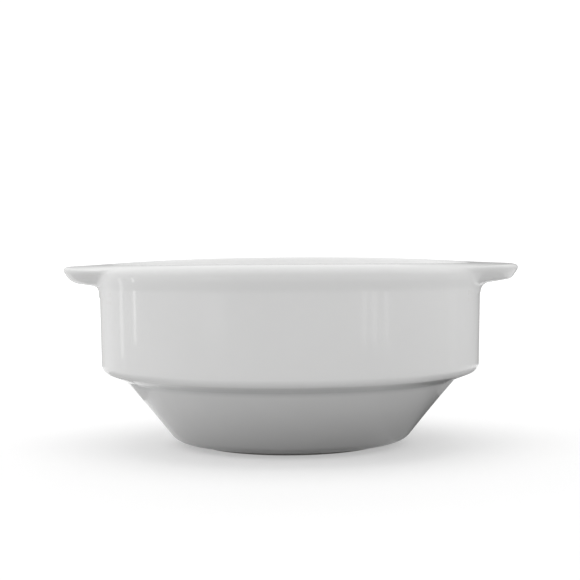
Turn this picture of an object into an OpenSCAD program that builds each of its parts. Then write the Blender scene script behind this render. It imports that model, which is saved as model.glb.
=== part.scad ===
// Stackable bouillon cup of glazed porcelain with two lug handles.
// The bowl is a formed shell, stepped so that it nests in the rim of the next cup.
// Each handle is a solid cast lug, stuck to the wall under the lip with a layer of slip.
// Millimetres. The origin is the centre of the foot's bearing plane, +Z is up and
// +X runs through the right handle.

/* [Bowl] */
// Height from the foot to the crest of the rim
cup_height = 56; // [50:0.5:64]
// Outer diameter of the upper wall, just under the lip
wall_diameter = 116; // [104:0.5:130]
// Thickness of the wall
wall_thickness = 4; // [3.2:0.1:5]
// How much the wall narrows, on the radius, from the lip down to the shoulder
wall_draft = 0.5; // [0.2:0.1:1.5]
// Height of the shoulder's outer corner
shoulder_height = 23; // [19:0.5:28]
// Width of the ledge under the shoulder
ledge_width = 6.8; // [5:0.1:9]
// How far the ledge falls from its outer edge to its inner edge
ledge_drop = 2.7; // [1.5:0.1:4]
// Diameter of the lower cone at the base, before its corner is rounded
base_diameter = 69.6; // [66:0.2:78]
// Thickness of the floor
floor_thickness = 4.2; // [3:0.1:6]

/* [Rim] */
// How far the lip stands out from the wall
lip_flare = 0.5; // [0.2:0.1:0.7]
// Radius of the lip's outer edge
lip_radius = 3.2; // [2.2:0.1:3.8]
// Height of the upright band between the lip's rounded edge and the neck
lip_band = 1; // [0.7:0.1:2]
// Height of the neck between the lip and the wall
neck_height = 3; // [2.2:0.1:5]
// Radius that eases the neck into the lip and the wall
neck_radius = 8; // [4:0.5:9]

/* [Corners of the bowl] */
// Radius of the shoulder's outer corner
shoulder_radius = 3.2; // [2:0.1:4]
// Radius in the angle between the ledge and the cone
ledge_radius = 1; // [0.5:0.1:2]
// Radius of the base's corner
base_radius = 4.7; // [3:0.1:6]
// Radius inside the bowl over the shoulder's corner
inner_shoulder_radius = 3; // [2:0.1:4]
// Radius inside the bowl where the ledge turns down into the cone
inner_ledge_radius = 4; // [3:0.1:6]
// Radius inside the bowl between the cone and the floor
inner_floor_radius = 9; // [5:0.5:14]

/* [Foot ring] */
// Outer diameter of the foot ring
foot_diameter = 59.5; // [54:0.5:60]
// Width of the foot ring
foot_width = 3.8; // [3:0.1:6]
// How far the foot ring lifts the base off the table
foot_lift = 1; // [0.6:0.1:1.6]
// Depth of the recess inside the foot ring
foot_recess = 2; // [1.8:0.1:3]
// Radius of the foot ring's lower edges
foot_edge_radius = 0.8; // [0.4:0.1:1.2]

/* [Handles] */
// How far a handle stands out from the wall
handle_reach = 11.5; // [8:0.1:16]
// Angle of the rim that a handle takes up, with its flared ends
handle_angle = 58; // [50:1:80]
// How far a handle's flared ends stand out from the lip
handle_end_reach = 0.8; // [0.6:0.1:1.5]
// How far the handle's top lies under the crest of the rim
handle_drop = 0.7; // [0.4:0.1:1.2]
// How far the handle's top falls from the lip to its tip
handle_fall = 0.6; // [0:0.1:1.5]
// Depth of the handle's middle at the wall, from the crest of the rim
handle_depth = 7.4; // [6:0.1:10]
// Depth of the handle's flared ends at the wall, from the crest of the rim
handle_end_depth = 6.4; // [5:0.1:7]
// Height of the rounded upper edge of the handle
handle_edge = 1.6; // [1:0.1:2]
// Radius between the handle's underside and the wall
handle_root_radius = 2.6; // [1.5:0.1:3.5]

/* [Slip joints] */
// Thickness of the slip that sticks a handle to the wall
slip_thickness = 0.4; // [0.2:0.05:0.7]

/* [Hidden] */

glaze_white = [0.93, 0.93, 0.92];
slip_white = [0.88, 0.87, 0.84];
bare_porcelain = [0.84, 0.82, 0.78];

wall_r = wall_diameter / 2;
base_r = base_diameter / 2;
foot_r = foot_diameter / 2;
lip_r = wall_r + lip_flare;
inner_r = wall_r - wall_thickness;
inner_lip_radius = lip_r - lip_radius - inner_r;
lip_z = cup_height - lip_radius - lip_band;
neck_z = lip_z - neck_height;
floor_z = foot_recess + floor_thickness;

// Straight pieces that a rounded corner is drawn with
corner_steps = 12;

// Sharp corners of the bowl's outside
base_corner = [base_r, foot_lift];
shoulder_corner = [wall_r - wall_draft, shoulder_height];
ledge_corner = shoulder_corner - [ledge_width, ledge_drop];
wall_top = [wall_r, neck_z];

// Sharp corners of the bowl's inside, one wall thickness in
inner_cone = inset_line(base_corner, ledge_corner, wall_thickness);
inner_slope = inset_line(ledge_corner, shoulder_corner, wall_thickness);
inner_wall = inset_line(shoulder_corner, wall_top, wall_thickness);
floor_line = [[0, floor_z], [1, 0]];
inner_shoulder = crossing(inner_slope, inner_wall);
inner_ledge = crossing(inner_cone, inner_slope);
floor_corner = crossing(inner_cone, floor_line);

// The base's corner, rounded no further in than the foot ring
base_half_angle = (180 - atan2(ledge_corner.y - base_corner.y, ledge_corner.x - base_corner.x)) / 2;
base_rounding = min(base_radius, (base_r - foot_r) * tan(base_half_angle));

// The bowl's section as corners of [radius, height, rounding], up the outside and down the inside
outside = [
  [foot_r, foot_recess, 0],
  [foot_r, foot_lift, 0],
  [base_corner.x, base_corner.y, base_rounding],
  [ledge_corner.x, ledge_corner.y, ledge_radius],
  [shoulder_corner.x, shoulder_corner.y, shoulder_radius],
  [wall_top.x, wall_top.y, neck_radius],
  [lip_r, lip_z, neck_radius],
  [lip_r, cup_height, lip_radius]
];
inside = [
  [inner_r, cup_height, inner_lip_radius],
  [inner_shoulder.x, inner_shoulder.y, inner_shoulder_radius],
  [inner_ledge.x, inner_ledge.y, inner_ledge_radius],
  [floor_corner.x, floor_corner.y, inner_floor_radius]
];
section = concat(outside, inside, [[0, floor_z, 0], [0, foot_recess, 0]]);
outside_points = rounded(section, 0, len(outside) - 1);

// Sections that a handle is drawn with, and the points along each stretch of a section
handle_sections = 30;
edge_steps = 4;
underside_steps = 7;
root_steps = 3;
handle_steps = edge_steps + underside_steps + root_steps + 1;
// Share of the handle's angle where its flared ends are cut off
handle_cut_share = 0.86;
// Angle that the root's curve turns through before it meets the slip
root_turn = 70;
// Share of a flared end's width that its rounded edge and its root may take
end_share = 0.5;
// Gap that keeps the flat facets of the slip off the round wall
facet_gap = 0.03;

function unit(v) = v / norm(v);

// The line from a to b as [point, direction], moved to its left by a distance
function inset_line(a, b, distance) =
  let (u = unit(b - a))
  [a + distance * [-u.y, u.x], u];

// Where two such lines cross
function crossing(p, q) = p[0] + p[1] * cross(q[0] - p[0], q[1]) / cross(p[1], q[1]);

// Points of an arc about a centre
function arc(centre, radius, from, turn, steps) = [
  for (i = [0:steps])
    centre + radius * [cos(from + turn * i / steps), sin(from + turn * i / steps)]
];

// Points that round the corner at b of the path a, b, c
function round_corner(a, b, c, radius) =
  let (
    u = unit(a - b),
    v = unit(c - b),
    half = acos(u * v) / 2,
    centre = b + unit(u + v) * radius / sin(half),
    start = b + u * radius / tan(half) - centre,
    side = sign(cross(u, v))
  )
  arc(centre, radius, atan2(start.y, start.x), -side * (180 - 2 * half), corner_steps);

function point_of(corner) = [corner.x, corner.y];

// Points of a closed path of [x, y, rounding] corners, from the first to the last one named
function rounded(corners, first, last) =
  let (count = len(corners))
  [
    for (i = [first:last])
      let (
        before = point_of(corners[(i + count - 1) % count]),
        here = point_of(corners[i]),
        after = point_of(corners[(i + 1) % count])
      )
      each corners[i].z > 0 ? round_corner(before, here, after, corners[i].z) : [here]
  ];

// Outer radius of the bowl's upper wall, neck and lip at a height
upper_wall = [for (p = outside_points) if (p.y > shoulder_height) [p.y, p.x]];
function bowl_r(z) = lookup(z, upper_wall);

// How far a handle stands out at a share of its half angle: 1 in the middle and 0 at its ends
function swell(share) = pow(cos(90 * share), 2);

// Height of a handle's top at the lip
handle_z = cup_height - handle_drop;

// A handle's outer face at a share of its half angle, as [radius, height] points:
// out along its top, round its edge, back along its underside and down the root
function handle_face(share) =
  let (
    out = swell(share),
    reach = handle_end_reach + (handle_reach - lip_flare - handle_end_reach) * out,
    tip_r = lip_r + reach,
    room = reach - slip_thickness,
    edge_r = min(handle_edge, end_share * room),
    edge_z = handle_z - handle_fall * out - handle_edge,
    depth = handle_end_depth + (handle_depth - handle_end_depth) * pow(out, 2),
    root_r = min(handle_root_radius, end_share * room),
    width = tip_r - wall_r,
    low_z = cup_height - depth,
    fall = edge_z - low_z,
    root_out = bowl_r(low_z) + slip_thickness + root_r * sin(root_turn) - wall_r,
    root_start = acos(root_out / width),
    root_z = edge_z - fall * sin(root_start)
  )
  concat(
    [[bowl_r(handle_z) + slip_thickness, handle_z]],
    [
      for (i = [0:edge_steps])
        let (turn = 90 - 90 * i / edge_steps)
        [tip_r - edge_r * (1 - cos(turn)), edge_z + handle_edge * sin(turn)]
    ],
    [
      for (i = [1:underside_steps])
        let (turn = root_start * i / underside_steps)
        [wall_r + width * cos(turn), edge_z - fall * sin(turn)]
    ],
    [
      for (i = [1:root_steps])
        let (
          turn = root_turn * i / root_steps,
          z = root_z - root_r * (1 - cos(turn))
        )
        [bowl_r(z) + slip_thickness + root_r * (sin(root_turn) - sin(turn)), z]
    ]
  );

// Evenly spaced points down the bowl's outer face, a layer out from it
function down_the_wall(from, to, layer, steps) = [
  for (i = [0:steps])
    let (z = from + (to - from) * i / steps)
    [bowl_r(z) + layer, z]
];

// The face that a handle turns to the slip, from its top down to the end of its root
function handle_back(share) =
  let (root_end = handle_face(share)[handle_steps])
  down_the_wall(handle_z, root_end.y, slip_thickness, handle_steps);

// The slip's face to the handle, with its top edge and the thin lower edge that runs out on the wall
function slip_face(share) =
  let (
    back = handle_back(share),
    end_z = back[handle_steps].y - slip_thickness * tan(root_turn)
  )
  concat(
    [[bowl_r(handle_z) + facet_gap, handle_z]],
    back,
    [[bowl_r(end_z) + facet_gap, end_z]]
  );

// The slip's face to the wall
function slip_back(share) =
  let (
    face = slip_face(share),
    steps = len(face) - 1
  )
  down_the_wall(handle_z, face[steps].y, facet_gap, steps);

// A closed section from a front face and a back face, which share their first and last points
function closed_section(front, back) = concat(
  front,
  [for (i = [len(back) - 2:-1:1]) back[i]]
);

// A body through sections that are turned about the cup's axis, one for each share of the half angle
module turned_loft(sections, shares) {
  count = len(sections[0]);
  half = count / 2;
  last_section = len(sections) - 1;
  last_start = last_section * count;
  points = [
    for (i = [0:last_section], p = sections[i])
      let (angle = shares[i] * handle_angle / 2)
      [p.x * cos(angle), p.x * sin(angle), p.y]
  ];
  sides = [
    for (i = [0:last_section - 1], j = [0:count - 1])
      let (
        a = i * count + j,
        b = i * count + (j + 1) % count,
        c = a + count,
        d = b + count
      )
      each [[a, d, b], [a, c, d]]
  ];
  // An end is closed with a ladder of triangles between its front face and its back face
  ladder = [
    for (k = [0:half - 1])
      let (
        back = (count - k) % count,
        next_back = count - k - 1
      )
      each concat(
        k < half - 1 ? [[k, k + 1, next_back]] : [],
        k > 0 ? [[k, next_back, back]] : []
      )
  ];
  first_end = ladder;
  last_end = [
    for (f = ladder) [last_start + f[0], last_start + f[2], last_start + f[1]]
  ];
  polyhedron(points, concat(sides, first_end, last_end));
}

handle_shares = [
  for (i = [0:handle_sections]) handle_cut_share * (2 * i / handle_sections - 1)
];

module cup_body() {
  color(glaze_white)
    rotate_extrude() polygon(rounded(section, 0, len(section) - 1));
}

module foot_ring() {
  color(bare_porcelain)
    rotate_extrude()
      polygon(rounded(
        [
          [foot_r - foot_width, 0, foot_edge_radius],
          [foot_r, 0, foot_edge_radius],
          [foot_r, foot_recess, 0],
          [foot_r - foot_width, foot_recess, 0]
        ],
        0, 3
      ));
}

module right_handle() {
  color(glaze_white)
    turned_loft(
      [for (share = handle_shares) closed_section(handle_face(share), handle_back(share))],
      handle_shares
    );
}

module left_handle() {
  mirror([1, 0, 0]) right_handle();
}

module right_handle_slip() {
  color(slip_white)
    turned_loft(
      [for (share = handle_shares) closed_section(slip_face(share), slip_back(share))],
      handle_shares
    );
}

module left_handle_slip() {
  mirror([1, 0, 0]) right_handle_slip();
}

cup_body();
foot_ring();
left_handle();
right_handle();
left_handle_slip();
right_handle_slip();
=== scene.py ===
import math

import bmesh
import bpy
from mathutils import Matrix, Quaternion, Vector


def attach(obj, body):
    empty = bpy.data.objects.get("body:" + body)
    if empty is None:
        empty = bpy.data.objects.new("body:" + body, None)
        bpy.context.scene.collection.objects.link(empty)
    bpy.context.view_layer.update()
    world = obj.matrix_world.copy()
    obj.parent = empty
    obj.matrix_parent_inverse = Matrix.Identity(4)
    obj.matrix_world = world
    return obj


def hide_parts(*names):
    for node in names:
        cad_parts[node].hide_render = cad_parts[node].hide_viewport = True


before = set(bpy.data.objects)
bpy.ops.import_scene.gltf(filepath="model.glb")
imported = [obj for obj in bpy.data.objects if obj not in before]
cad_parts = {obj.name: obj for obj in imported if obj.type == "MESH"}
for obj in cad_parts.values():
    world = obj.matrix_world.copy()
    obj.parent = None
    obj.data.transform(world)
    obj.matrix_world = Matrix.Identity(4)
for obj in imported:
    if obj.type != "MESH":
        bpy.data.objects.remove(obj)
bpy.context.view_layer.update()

# Camera: it stands a little above the rim and half a metre off, in front of the cup,
# and leans over by less than half a degree, as the photograph does.
mm = 0.001
camera_distance = 454.1 * mm
camera_height = 64.8 * mm
aim_height = 46.9 * mm
aim_side = 0.03 * mm
camera_lean = math.radians(0.4)
camera_sensor = 36
camera_lens = 91.8
camera_place = Vector((0, -camera_distance, camera_height))
camera_aim = Vector((aim_side, 0, aim_height)) - camera_place
bpy.ops.object.select_all(action="DESELECT")
bpy.ops.object.camera_add(location=camera_place)
camera = bpy.context.object
camera.name = "camera"
camera_turn = camera_aim.to_track_quat("-Z", "Y") @ Quaternion((0, 0, 1), -camera_lean)
camera.rotation_euler = camera_turn.to_euler()
camera.data.sensor_width = camera_sensor
camera.data.lens = camera_lens
camera.data.clip_start = 10 * mm
bpy.context.scene.camera = camera
bpy.context.scene.view_settings.view_transform = "Standard"


# Bowl: a porcelain shell formed in one piece on the wheel and glazed all over, with a rounded lip,
# a straight wall, a stepped shoulder that nests in the next cup, and a cone down to the base.
# Its section is drawn corner by corner, the corners are rounded, and it is turned about the axis.
cup_height = 56
bowl_corners = [
    (0, 2, 0),
    (29.75, 2, 0),
    (29.75, 1.25, 0),
    (35, 1.25, 5.2),
    (44.75, 13.5, 300),
    (50.7, 20.3, 2.6),
    (57.5, 23, 2.6),
    (58, 48.8, 8),
    (58.49, 51.8, 8),
    (58.49, cup_height, 3),
    (54.9, cup_height, 1.5),
    (53.6, 53.2, 3),
    (53.5, 25.7, 3),
    (48.3, 23.6, 4),
    (33.8, 6.2, 9),
    (0, 6.2, 0),
]
bowl_columns = 320
bowl_row = 2.5
corner_cuts = 12
same_place = 1e-6


def pick(piece, wanted):
    """Select the points of the piece in edit mode that a test of their place accepts."""
    bpy.ops.mesh.select_mode(type="VERT")
    bpy.ops.mesh.select_all(action="DESELECT")
    points = bmesh.from_edit_mesh(piece.data)
    for point in points.verts:
        point.select_set(wanted(point.co))
    points.select_flush_mode()
    bmesh.update_edit_mesh(piece.data)


def place_of(corner):
    """The place of a (radius, height, rounding) corner in the XZ plane, in metres."""
    return Vector((corner[0], 0, corner[1])) * mm


def draw_section(name, corners, closed=False):
    """Draw (radius, height, rounding) corners in the XZ plane as a line, and stay in edit mode."""
    bpy.ops.object.select_all(action="DESELECT")
    bpy.ops.mesh.primitive_plane_add(size=mm)
    piece = bpy.context.object
    piece.name = name
    bpy.ops.object.mode_set(mode="EDIT")
    bpy.ops.mesh.select_mode(type="VERT")
    bpy.ops.mesh.merge(type="CENTER")
    bpy.ops.transform.translate(value=place_of(corners[0]))
    for before, here in zip(corners, corners[1:]):
        step = place_of(here) - place_of(before)
        bpy.ops.mesh.extrude_vertices_move(TRANSFORM_OT_translate={"value": step})
    if closed:
        ends = (place_of(corners[0]), place_of(corners[-1]))
        pick(piece, lambda place: min((place - end).length for end in ends) < same_place)
        bpy.ops.mesh.edge_face_add()
    return piece


def round_corners(piece, corners):
    """Round the drawn corners by a vertex bevel as long as each corner's tangent."""
    count = len(corners)
    for i, corner in enumerate(corners):
        if corner[2] > 0:
            here = place_of(corner)
            to_last = place_of(corners[i - 1]) - here
            to_next = place_of(corners[(i + 1) % count]) - here
            tangent = corner[2] * mm / math.tan(to_last.angle(to_next) / 2)
            pick(piece, lambda place: (place - here).length < same_place)
            bpy.ops.mesh.bevel(
                offset=tangent, segments=corner_cuts, affect="VERTICES", clamp_overlap=False)


def divide_long_edges(piece, longest):
    """Halve the edges of the drawn line until none is longer than this."""
    bpy.ops.mesh.select_mode(type="EDGE")
    while True:
        bpy.ops.mesh.select_all(action="DESELECT")
        lines = bmesh.from_edit_mesh(piece.data)
        long_lines = [line for line in lines.edges if line.calc_length() > longest * mm]
        if not long_lines:
            return
        for line in long_lines:
            line.select_set(True)
        bmesh.update_edit_mesh(piece.data)
        bpy.ops.mesh.subdivide(number_cuts=1)


def turn(piece, angle, steps):
    """Spin the drawn line about the cup's axis, and close the seam and the poles."""
    bpy.ops.mesh.select_mode(type="VERT")
    bpy.ops.mesh.select_all(action="SELECT")
    bpy.ops.mesh.spin(steps=steps, angle=angle, center=(0, 0, 0), axis=(0, 0, -1))
    bpy.ops.mesh.select_all(action="SELECT")
    bpy.ops.mesh.remove_doubles(threshold=same_place)
    bpy.ops.mesh.normals_make_consistent(inside=False)


bowl = draw_section("bowl", bowl_corners)
round_corners(bowl, bowl_corners)
divide_long_edges(bowl, bowl_row)
turn(bowl, math.tau, bowl_columns)
bpy.ops.object.mode_set(mode="OBJECT")
bpy.ops.object.shade_smooth()

# The rim sank by about a millimetre at both handles in the kiln, so a lattice pulls it down there.
# Each sag stands against a distance from the middle of the cup towards a handle.
rim_sag = {70: 1.15, 35: 0.3, 0: 0}
sag_width = 140
bpy.ops.object.add(type="LATTICE", location=(0, 0, cup_height / 2 * mm))
kiln_sag = bpy.context.object
kiln_sag.scale = Vector((sag_width, sag_width, cup_height)) * mm
kiln_sag.data.points_u = 5
kiln_sag.data.points_w = 3
kiln_sag.data.interpolation_type_u = "KEY_CARDINAL"
kiln_sag.data.interpolation_type_w = "KEY_CARDINAL"
for point in kiln_sag.data.points:
    in_top_row = point.co.z > 0.4
    if in_top_row:
        point.co_deform.z -= rim_sag[round(abs(point.co.x) * sag_width)] / cup_height


def sag(piece):
    """Let the piece sink with the rim."""
    bpy.context.view_layer.objects.active = piece
    modifier = piece.modifiers.new("kiln_sag", "LATTICE")
    modifier.object = kiln_sag
    bpy.ops.object.modifier_apply(modifier=modifier.name)


sag(bowl)


def new_material(name):
    """A material with only its output, its shader and object coordinates to start from."""
    material = bpy.data.materials.new(name)
    material.use_nodes = True
    nodes = material.node_tree.nodes
    shader = nodes["Principled BSDF"]
    place = nodes.new("ShaderNodeTexCoord").outputs["Object"]
    return material, nodes, material.node_tree.links, shader, place


def noise(nodes, links, place, scale, detail):
    """A noise texture in the piece's own coordinates, with its scale in waves per metre."""
    texture = nodes.new("ShaderNodeTexNoise")
    texture.inputs["Scale"].default_value = scale
    texture.inputs["Detail"].default_value = detail
    links.new(place, texture.inputs["Vector"])
    return texture.outputs["Fac"]


def ramp(nodes, links, value, stops):
    """A colour ramp through (position, colour) stops."""
    node = nodes.new("ShaderNodeValToRGB")
    elements = node.color_ramp.elements
    elements[0].position, elements[0].color = stops[0]
    elements[1].position, elements[1].color = stops[-1]
    for position, colour in stops[1:-1]:
        elements.new(position).color = colour
    links.new(value, node.inputs["Fac"])
    return node.outputs["Color"]


def bump(nodes, links, height, distance, below=None):
    """A bump of this distance in millimetres, laid over another one if it is given."""
    node = nodes.new("ShaderNodeBump")
    node.inputs["Distance"].default_value = distance * mm
    links.new(height, node.inputs["Height"])
    if below:
        links.new(below, node.inputs["Normal"])
    return node.outputs["Normal"]


def stretch(nodes, links, value, start, end, low, high):
    """Carry a value that lies between start and end over to between low and high."""
    node = nodes.new("ShaderNodeMapRange")
    node.inputs["From Min"].default_value = start
    node.inputs["From Max"].default_value = end
    node.inputs["To Min"].default_value = low
    node.inputs["To Max"].default_value = high
    links.new(value, node.inputs["Value"])
    return node.outputs["Result"]


def combine(nodes, links, operation, first, second):
    """Join two values by a sum of this kind."""
    node = nodes.new("ShaderNodeMath")
    node.operation = operation
    links.new(first, node.inputs[0])
    links.new(second, node.inputs[1])
    return node.outputs["Value"]


def stain(nodes, links, share, under, colour):
    """Lay a colour over another one where the share is high."""
    node = nodes.new("ShaderNodeMix")
    node.data_type = "RGBA"
    links.new(share, node.inputs[0])
    links.new(under, node.inputs[6])
    node.inputs[7].default_value = colour
    return node.outputs[2]


# The glaze is faintly mottled, is darkened under the shoulder and faintly under the lip as painted
# shade, holds a few tiny iron specks, is worn dull round the base, and lies in slow waves with a fine
# orange peel.
glaze, nodes, links, shader, place = new_material("glazed_porcelain")
apart = nodes.new("ShaderNodeSeparateXYZ")
links.new(place, apart.inputs["Vector"])
height = apart.outputs["Z"]
tint = ramp(nodes, links, noise(nodes, links, place, 45, 3), [
    (0.3, (0.895, 0.896, 0.892, 1)),
    (0.7, (0.912, 0.912, 0.908, 1)),
])
# Painted shade: a band of darker glaze under the shoulder, and a faint one under the lip.
painted_shade = ramp(nodes, links, stretch(nodes, links, height, 0, cup_height * mm, 0, 1), [
    (0.34, (0, 0, 0, 1)),
    (0.37, (1, 1, 1, 1)),
    (0.385, (1, 1, 1, 1)),
    (0.41, (0, 0, 0, 1)),
    (0.85, (0, 0, 0, 1)),
    (0.89, (0.1, 0.1, 0.1, 1)),
    (0.93, (0, 0, 0, 1)),
])
flat = nodes.new("ShaderNodeVectorMath")
flat.operation = "MULTIPLY"
flat.inputs[1].default_value = (1, 1, 0)
links.new(place, flat.inputs[0])
from_axis = nodes.new("ShaderNodeVectorMath")
from_axis.operation = "LENGTH"
links.new(flat.outputs["Vector"], from_axis.inputs[0])
outside = stretch(nodes, links, from_axis.outputs["Value"], 48.6 * mm, 49.4 * mm, 0, 1)
painted_shade_outside = combine(nodes, links, "MULTIPLY", painted_shade, outside)
# The painted shade is laid into the glaze's colour on the outside only.
tint = stain(nodes, links, painted_shade_outside, tint, (0.74, 0.748, 0.745, 1))
cells = nodes.new("ShaderNodeTexVoronoi")
cells.inputs["Scale"].default_value = 110
links.new(place, cells.inputs["Vector"])
dots = stretch(nodes, links, cells.outputs["Distance"], 0.006, 0.013, 1, 0)
few = stretch(nodes, links, cells.outputs["Color"], 0.66, 0.67, 0, 1)
specks = combine(nodes, links, "MULTIPLY", dots, few)
tint = stain(nodes, links, specks, tint, (0.7, 0.67, 0.62, 1))
links.new(tint, shader.inputs["Base Color"])
gloss = stretch(nodes, links, noise(nodes, links, place, 90, 2), 0, 1, 0.05, 0.11)
worn = stretch(nodes, links, height, 1.3 * mm, 3 * mm, 0.35, 0.05)
links.new(combine(nodes, links, "MAXIMUM", gloss, worn), shader.inputs["Roughness"])
waves = bump(nodes, links, noise(nodes, links, place, 190, 1), 0.02)
peel = bump(nodes, links, noise(nodes, links, place, 1500, 2), 0.0008, waves)
links.new(peel, shader.inputs["Normal"])
bowl.data.materials.append(glaze)

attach(bowl, "root")
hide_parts("cup_body")


# Foot ring: the ring of bare porcelain that the cup stands on, luted under the floor and wiped
# clean of glaze, so that it is matt and a little warmer than the bowl.
foot_corners = [
    (26, 2.2, 0),
    (26.3, 0, 0.8),
    (27.9, 0, 0.8),
    (29.6, 1.5, 0.5),
    (29.74, 2.2, 0),
]
foot_row = 0.6
foot_columns = 240
foot_ring = draw_section("foot_ring_bare", foot_corners, closed=True)
round_corners(foot_ring, foot_corners)
divide_long_edges(foot_ring, foot_row)
turn(foot_ring, math.tau, foot_columns)
bpy.ops.object.mode_set(mode="OBJECT")
bpy.ops.object.shade_smooth()

bare, nodes, links, shader, place = new_material("bare_porcelain")
grain = noise(nodes, links, place, 1800, 4)
biscuit = ramp(nodes, links, grain, [
    (0.3, (0.74, 0.72, 0.68, 1)),
    (0.7, (0.80, 0.78, 0.74, 1)),
])
links.new(biscuit, shader.inputs["Base Color"])
links.new(stretch(nodes, links, grain, 0.3, 0.7, 0.6, 0.8), shader.inputs["Roughness"])
rings = nodes.new("ShaderNodeTexWave")
rings.wave_type = "RINGS"
rings.rings_direction = "Z"
rings.inputs["Scale"].default_value = 600
rings.inputs["Distortion"].default_value = 1.5
links.new(place, rings.inputs["Vector"])
turned = bump(nodes, links, rings.outputs["Fac"], 0.02)
links.new(bump(nodes, links, grain, 0.05, turned), shader.inputs["Normal"])
foot_ring.data.materials.append(bare)

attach(foot_ring, "root")
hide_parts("foot_ring")


# Handles: two solid lugs of porcelain, cast apart, stuck to the lip while damp and sponged until
# they run into it, then glazed with the bowl. Half of one is swept round the rim from its middle
# section, thinned towards its end and mirrored, and its ends are drawn down onto the bowl.
# Each lug has its half angle round the rim, how much its flanks lean in towards the underside, and
# how far the edge of its top dips along them.
right_lug = {"half_angle": math.radians(37), "flank_lean": 0.5, "top_fall": 0.2}
left_lug = {"half_angle": math.radians(30), "flank_lean": 0.9, "top_fall": 1}
handle_steps = 32
handle_row = 0.9
handle_flat = 0.1
handle_end_power = 1.3
handle_depth = 7.4
handle_middle_depth = 7
handle_end_depth = 7.7
flank_power = 2
crest_radius = 55.3
crest_edge = 56
back_radius = 57.6
back_top = 0.7
shelf_radius = 58
lip_radius = 58.49
tip_radius = 69.5
root_depth = 10.5
sink = 0.01
draw_down_power = 2.5
merge_distance = 0.05
smooth_angle = math.radians(50)
# A lug's front runs from the crest out along the top, round the tip, back along the underside and
# down the wall, and its back lies inside the wall. Heights are from the crest.
right_front = [
    (crest_radius, 0, 0),
    (70.4, -0.25, 1.4),
    (67.5, -5.15, 2.5),
    (58.05, -6.8, 3.4),
    (57.95, -11.5, 0),
]
left_front = [
    (crest_radius, 0, 0),
    (69.7, -0.45, 1.25),
    (66.9, -5.7, 4.6),
    (58.2, -7.15, 2.5),
    (58.1, -11.5, 0),
]
handle_back = [
    (57, -11.8, 0),
    (56.6, -3.5, 0),
    (55.5, -0.8, 0),
]


def swell(share):
    """How far a handle stands out at a share of its half angle: 1 in the middle, 0 at its end."""
    fall = max(share - handle_flat, 0) / (1 - handle_flat)
    return (1 - fall * fall * (3 - 2 * fall)) ** handle_end_power


def share_of(place, lug):
    """The share of a handle's half angle at which a place lies."""
    return abs(math.atan2(place.y, abs(place.x))) / lug["half_angle"]


def on_front(place):
    """Whether a place lies on the face that shows, and not on the back inside the wall."""
    radius = math.hypot(place.x, place.y)
    return radius > back_radius * mm or place.z > (cup_height - back_top) * mm


def depth_share(share):
    """How deep a handle is at a share of its half angle, against its section as drawn."""
    middle_share = swell(share) ** 2
    depth = handle_end_depth + (handle_middle_depth - handle_end_depth) * middle_share
    return depth / handle_depth


def stand_out(share, drop, lug):
    """How far a handle stands out, from 0 to 1, where its flank is this far under its top."""
    lean = 1 + lug["flank_lean"] * (max(drop, 0) / handle_depth) ** flank_power
    return swell(min(share * lean, 1))


def section_at(share, lug):
    """A test for the places of one section of a handle."""
    def wanted(place):
        return abs(share_of(place, lug) - share) < 0.1 / handle_steps
    return wanted


def shape_lug(handle, lug):
    """Thin a swept handle towards its end, with flanks that lean in and an edge that dips on them."""
    swept = bmesh.from_edit_mesh(handle.data)
    for point in swept.verts:
        share = share_of(point.co, lug)
        drop = cup_height - point.co.z / mm
        point.co.z = (cup_height - drop * depth_share(share)) * mm
        radius = math.hypot(point.co.x, point.co.y)
        if radius > shelf_radius * mm:
            out = stand_out(share, drop, lug)
            reach = (radius / mm - lip_radius) / (tip_radius - lip_radius)
            upper = max(1 - drop / handle_depth, 0)
            on_flank = 4 * out * (1 - out)
            point.co.z -= lug["top_fall"] * mm * on_flank * reach * reach * upper
            new_radius = lip_radius * mm + (radius - lip_radius * mm) * out
            point.co.x *= new_radius / radius
            point.co.y *= new_radius / radius
    bmesh.update_edit_mesh(handle.data)


def draw_down(handle, lug):
    """Draw a handle's ends, and the edges where it meets the bowl, onto the bowl's surface."""
    group = handle.vertex_groups.new(name="drawn_down")
    for point in handle.data.vertices:
        share = share_of(point.co, lug)
        if on_front(point.co):
            radius = math.hypot(point.co.x, point.co.y)
            drop = (cup_height - point.co.z / mm) / depth_share(share)
            on_bowl = radius < crest_edge * mm or drop > root_depth
            weight = 1 if on_bowl else (1 - stand_out(share, drop, lug)) ** draw_down_power
            group.add([point.index], weight, "REPLACE")
    sag(handle)
    wrap = handle.modifiers.new("drawn_down", "SHRINKWRAP")
    wrap.target = bowl
    wrap.offset = -sink * mm
    wrap.vertex_group = group.name
    bpy.ops.object.modifier_apply(modifier=wrap.name)


def sweep_round_rim(name, front, back, lug):
    """A piece on the right side of the rim, swept from its middle section to its end and mirrored."""
    corners = [(r, cup_height + z, rounding) for r, z, rounding in front + back]
    handle = draw_section(name, corners, closed=True)
    round_corners(handle, corners)
    divide_long_edges(handle, handle_row)
    turn(handle, lug["half_angle"], handle_steps)
    shape_lug(handle, lug)
    pick(handle, section_at(1, lug))
    bpy.ops.mesh.fill()
    bpy.ops.object.mode_set(mode="OBJECT")
    bpy.ops.object.modifier_add(type="MIRROR")
    handle.modifiers["Mirror"].use_axis = (False, True, False)
    handle.modifiers["Mirror"].merge_threshold = same_place
    bpy.ops.object.modifier_apply(modifier="Mirror")
    draw_down(handle, lug)
    bpy.ops.object.mode_set(mode="EDIT")
    bpy.ops.mesh.select_all(action="SELECT")
    bpy.ops.mesh.remove_doubles(threshold=merge_distance * mm)
    bpy.ops.mesh.normals_make_consistent(inside=False)
    bpy.ops.object.mode_set(mode="OBJECT")
    bpy.ops.object.shade_smooth_by_angle(angle=smooth_angle)
    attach(handle, "root")
    return handle


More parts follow.
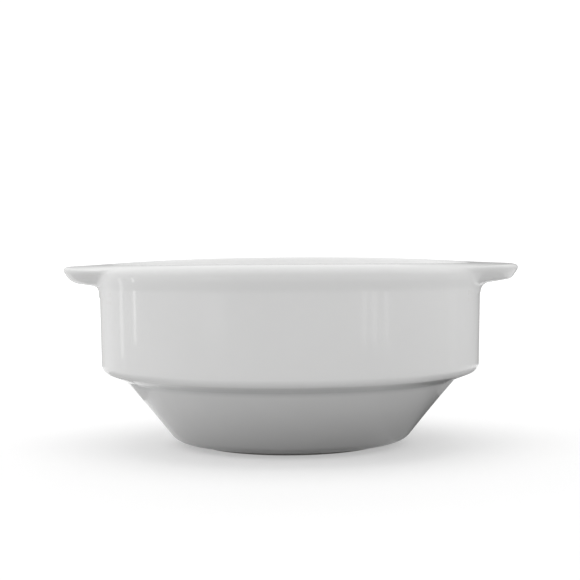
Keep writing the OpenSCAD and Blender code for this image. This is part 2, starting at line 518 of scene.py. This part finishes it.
def flip_to_left(piece):
    """Turn a piece of the right side over to the left side."""
    bpy.ops.object.mode_set(mode="EDIT")
    bpy.ops.transform.resize(value=(-1, 1, 1), center_override=(0, 0, 0))
    bpy.ops.mesh.normals_make_consistent(inside=False)
    bpy.ops.object.mode_set(mode="OBJECT")


right_handle = sweep_round_rim("handle_right", right_front, handle_back, right_lug)
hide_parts("right_handle")
left_handle = sweep_round_rim("handle_left", left_front, handle_back, left_lug)
flip_to_left(left_handle)
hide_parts("left_handle")
for handle in (right_handle, left_handle):
    handle.data.materials.append(glaze)


# Slip joints: the liquid porcelain that sticks each handle on, squeezed out as a low bead under the
# handle's root, smoothed with a wet brush and glazed over.
right_bead = [
    (57.6, -7.5, 0),
    (58.15, -9.2, 3),
    (57.6, -10.9, 0),
]
left_bead = [
    (57.6, -7.7, 0),
    (58.2, -9.4, 3),
    (57.6, -11.1, 0),
]
bead_back = [
    (56.9, -9.6, 0),
]
bead_run = {"half_angle": math.radians(27), "flank_lean": 0, "top_fall": 0}
right_slip = sweep_round_rim("handle_slip_right", right_bead, bead_back, bead_run)
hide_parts("right_handle_slip")
left_slip = sweep_round_rim("handle_slip_left", left_bead, bead_back, bead_run)
flip_to_left(left_slip)
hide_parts("left_handle_slip")

fettled, nodes, links, shader, place = new_material("joint_slip")
brushed = noise(nodes, links, place, 260, 4)
slip_tint = ramp(nodes, links, brushed, [
    (0.3, (0.872, 0.868, 0.86, 1)),
    (0.7, (0.9, 0.897, 0.89, 1)),
])
links.new(slip_tint, shader.inputs["Base Color"])
links.new(stretch(nodes, links, brushed, 0.3, 0.7, 0.08, 0.16), shader.inputs["Roughness"])
links.new(bump(nodes, links, brushed, 0.015), shader.inputs["Normal"])
for slip in (right_slip, left_slip):
    slip.data.materials.append(fettled)

bpy.ops.object.select_all(action="DESELECT")
kiln_sag.select_set(True)
bpy.ops.object.delete()


# Sweep: the pale paper that the cup stands on, which curves up behind it as the background.
# It is white to the camera and in the glaze, and keeps the cup's shadow. Its colour is painted dark
# round the cup, a painted shadow in the light it throws back, and its glow is painted dimmer near
# the cup, a painted shade where the camera and the glaze see it.
sweep_size = 3
sweep_height = 1.6
sweep_bend = 0.5
sweep_cuts = 24
shadow_middle = Vector((13, 0, 0)) * mm
# Painted shade: the glow that the camera and the glaze see is dimmer near the cup than far off.
glow_reach = (0.1, 0.9)
paper_glow = (0.42, 0.65)
# Painted shadow: the paper's colour, which the light thrown back from it takes, is dark round the
# cup.
painted_shadow_reach = (0.034, 0.08)
painted_paper_shadow = (0.03, 0.57)
bpy.ops.object.select_all(action="DESELECT")
bpy.ops.mesh.primitive_plane_add(size=sweep_size)
sweep = bpy.context.object
sweep.name = "paper_sweep"
bpy.ops.object.mode_set(mode="EDIT")
pick(sweep, lambda place: place.y > 0)
bpy.ops.mesh.extrude_edges_move(TRANSFORM_OT_translate={"value": (0, 0, sweep_height)})
pick(sweep, lambda place: place.y > 0 and place.z < 0.1)
bpy.ops.mesh.bevel(offset=sweep_bend, segments=sweep_cuts, affect="EDGES")
bpy.ops.object.mode_set(mode="OBJECT")
bpy.ops.object.shade_smooth()


def seen_directly(nodes, links):
    """1 for a ray that shows the background itself, and 0 for one that gathers its light."""
    path = nodes.new("ShaderNodeLightPath")
    seen = path.outputs["Is Camera Ray"]
    for ray in ("Is Glossy Ray", "Is Transmission Ray"):
        seen = combine(nodes, links, "MAXIMUM", seen, path.outputs[ray])
    return seen


paper, nodes, links, shader, place = new_material("sweep_paper")
shader.inputs["Roughness"].default_value = 1
shader.inputs["Specular IOR Level"].default_value = 0
white_paper = nodes.new("ShaderNodeBsdfPrincipled")
white_paper.inputs["Base Color"].default_value = (0.6, 0.6, 0.6, 1)
white_paper.inputs["Roughness"].default_value = 1
white_paper.inputs["Specular IOR Level"].default_value = 0
white_paper.inputs["Emission Color"].default_value = (1, 1, 1, 1)
from_shadow = nodes.new("ShaderNodeVectorMath")
from_shadow.operation = "SUBTRACT"
from_shadow.inputs[1].default_value = shadow_middle
links.new(place, from_shadow.inputs[0])
far_off = nodes.new("ShaderNodeVectorMath")
far_off.operation = "LENGTH"
links.new(from_shadow.outputs["Vector"], far_off.inputs[0])
glow = stretch(nodes, links, far_off.outputs["Value"], *glow_reach, *paper_glow)
links.new(glow, white_paper.inputs["Emission Strength"])
# Painted shadow in the paper's colour round the cup.
shade = stretch(nodes, links, far_off.outputs["Value"], *painted_shadow_reach, *painted_paper_shadow)
links.new(shade, shader.inputs["Base Color"])
either_paper = nodes.new("ShaderNodeMixShader")
links.new(seen_directly(nodes, links), either_paper.inputs["Fac"])
links.new(shader.outputs["BSDF"], either_paper.inputs[1])
links.new(white_paper.outputs["BSDF"], either_paper.inputs[2])
links.new(either_paper.outputs["Shader"], nodes["Material Output"].inputs["Surface"])
sweep.data.materials.append(paper)


# Grey cards: a graded card curved from the cup's right side round behind it to its left, and low
# cards that lie on the paper. They glow and show only in the glaze, as painted reflections, so that
# the cup's outline is drawn against the white paper; the low cards are a painted shadow of the cup
# on the paper as the glaze sees it.
card_radius = 250
card_height = 300
card_lift = 0.4
card_from_right = math.radians(15)
card_turn = math.radians(195)
card_columns = 48
card_left = -200
card_right = 240
card_line = [(card_radius, card_lift, 0), (card_radius, card_height, 0)]
card = draw_section("painted_reflection_card", card_line)
bpy.ops.mesh.select_all(action="SELECT")
bpy.ops.transform.rotate(value=-card_from_right, orient_axis="Z", center_override=(0, 0, 0))
turn(card, card_turn, card_columns)
bpy.ops.object.mode_set(mode="OBJECT")


def only_in_glaze(piece):
    """Let a card show in reflections only, as a painted reflection."""
    piece.visible_camera = False
    piece.visible_diffuse = False
    piece.visible_shadow = False


def light_paint(name, glow):
    """A material that only glows, at this strength."""
    made = new_material(name)
    shader = made[3]
    shader.inputs["Base Color"].default_value = (0, 0, 0, 1)
    shader.inputs["Specular IOR Level"].default_value = 0
    shader.inputs["Emission Color"].default_value = (1, 1, 1, 1)
    shader.inputs["Emission Strength"].default_value = glow
    return made


def graded_paint(name, axis, start, end, stops):
    """A glowing grey that is graded along an axis, through (share, grey) stops from start to end."""
    paint, nodes, links, shader, place = light_paint(name, 1)
    apart = nodes.new("ShaderNodeSeparateXYZ")
    links.new(place, apart.inputs["Vector"])
    along = stretch(nodes, links, apart.outputs[axis], start * mm, end * mm, 0, 1)
    greys = [(share, (grey, grey, grey, 1)) for share, grey in stops]
    links.new(ramp(nodes, links, along, greys), shader.inputs["Emission Color"])
    return paint


# Painted reflection: the curved card's glow is bright at its ends and dark behind the cup.
painted_reflection_greys = [
    (0, 1.1),
    (0.14, 0.74),
    (0.25, 0.45),
    (0.59, 0.3),
    (0.77, 0.42),
    (0.9, 0.7),
    (1, 0.98),
]
card.data.materials.append(graded_paint("card_grey", "X", card_left, card_right, painted_reflection_greys))
only_in_glaze(card)


def painted_shadow_card(name, left, right, front, back, paint):
    """A glowing card that lies on the paper beside the cup, a painted shadow that only the glaze
    shows.
    """
    bpy.ops.object.select_all(action="DESELECT")
    bpy.ops.mesh.primitive_plane_add(size=mm)
    sheet = bpy.context.object
    sheet.name = name
    bpy.ops.object.mode_set(mode="EDIT")
    bpy.ops.transform.resize(value=(right - left, back - front, 1))
    bpy.ops.transform.translate(value=Vector((left + right, front + back, 2 * card_lift)) * mm / 2)
    bpy.ops.object.mode_set(mode="OBJECT")
    sheet.data.materials.append(paint)
    only_in_glaze(sheet)


# Painted shadow: dark glowing cards that stand in the glaze for the cup's shadow on the paper.
painted_shadow_grey = graded_paint("low_card_dark", "Y", -40, 10, [(0, 0.7), (1, 0.12)])
painted_shadow_card("low_card_near", 33, 60, -40, 90, painted_shadow_grey)
mid_grey = graded_paint("low_card_mid", "X", 60, 120, [(0, 0.3), (1, 0.6)])
painted_shadow_card("low_card_far", 60, 120, -40, 120, mid_grey)
left_greys = [
    (0, 0.9),
    (0.5, 0.62),
    (1, 0.55),
]
left_grey = graded_paint("low_card_left_grey", "X", -150, -58, left_greys)
painted_shadow_card("low_card_left", -150, -58, -50, 60, left_grey)


# White cards: small bright cards and window panes that stand upright round the cup, glow, and show
# only as streaks in its glaze, as painted reflections.
def painted_streak_card(name, bearing, distance, width, foot, top, glow):
    """An upright glowing card at a bearing from the front to the right, a painted reflection that
    only the glaze shows.
    """
    angle = math.radians(bearing)
    middle = Vector((math.sin(angle) * distance, -math.cos(angle) * distance, (foot + top) / 2)) * mm
    bpy.ops.object.select_all(action="DESELECT")
    bpy.ops.mesh.primitive_plane_add(size=mm)
    panel = bpy.context.object
    panel.name = name
    bpy.ops.object.mode_set(mode="EDIT")
    bpy.ops.transform.resize(value=(width, top - foot, 1))
    bpy.ops.transform.rotate(value=math.radians(90), orient_axis="X", center_override=(0, 0, 0))
    bpy.ops.transform.rotate(value=-angle, orient_axis="Z", center_override=(0, 0, 0))
    bpy.ops.transform.translate(value=middle)
    bpy.ops.object.mode_set(mode="OBJECT")
    panel.data.materials.append(light_paint(name, glow)[0])
    only_in_glaze(panel)


painted_streak_card("white_card_left", -93, 240, 9, 14, 44, 2.8)
painted_streak_card("white_card_left_back", -107, 240, 16, 8, 44, 1.8)
painted_streak_card("white_card_front", -41, 350, 80, 1, 50, 1.4)
painted_streak_card("window_pane_first", 40, 350, 18, 1, 28, 1.8)
painted_streak_card("window_pane_second", 46, 350, 18, 1, 28, 1.8)
painted_streak_card("window_pane_third", 53, 350, 18, 1, 28, 1.8)


# Studio light: a pale room and four soft boxes round the cup. The ones overhead and behind it are
# the strongest, and don't show in the glaze.
room_light = 0.68
box_distance = 1.1
box_aim = Vector((0, 0, 30)) * mm
world = bpy.data.worlds.new("studio")
world.use_nodes = True
bpy.context.scene.world = world
nodes = world.node_tree.nodes
links = world.node_tree.links
room = nodes["Background"]
room.inputs["Color"].default_value = (1, 1, 1, 1)
room.inputs["Strength"].default_value = room_light
white = nodes.new("ShaderNodeBackground")
white.inputs["Color"].default_value = (1, 1, 1, 1)
either_room = nodes.new("ShaderNodeMixShader")
links.new(seen_directly(nodes, links), either_room.inputs["Fac"])
links.new(room.outputs["Background"], either_room.inputs[1])
links.new(white.outputs["Background"], either_room.inputs[2])
links.new(either_room.outputs["Shader"], nodes["World Output"].inputs["Surface"])


def soft_box(name, bearing, rise, width, height, glow):
    """An area lamp that faces the cup, at a bearing from the front to the right and a rise."""
    turn_right = math.radians(bearing)
    up = math.radians(rise)
    level = math.cos(up)
    towards = Vector((math.sin(turn_right) * level, -math.cos(turn_right) * level, math.sin(up)))
    place = towards * box_distance
    bpy.ops.object.light_add(type="AREA", location=place)
    lamp = bpy.context.object
    lamp.name = name
    lamp.data.shape = "RECTANGLE"
    lamp.data.size = width
    lamp.data.size_y = height
    lamp.data.energy = glow * math.pi * width * height
    lamp.rotation_euler = (box_aim - place).to_track_quat("-Z", "Y").to_euler()
    lamp.visible_camera = False
    return lamp


soft_box("left_box", -90, 20, 0.9, 0.7, 0.5)
soft_box("right_box", 90, 20, 0.8, 0.6, 0.3)
top_box = soft_box("top_box", 0, 88, 1.0, 0.9, 1.2)
top_box.visible_glossy = False
back_box = soft_box("back_box", 180, 28, 1.6, 0.9, 1)
back_box.visible_glossy = False
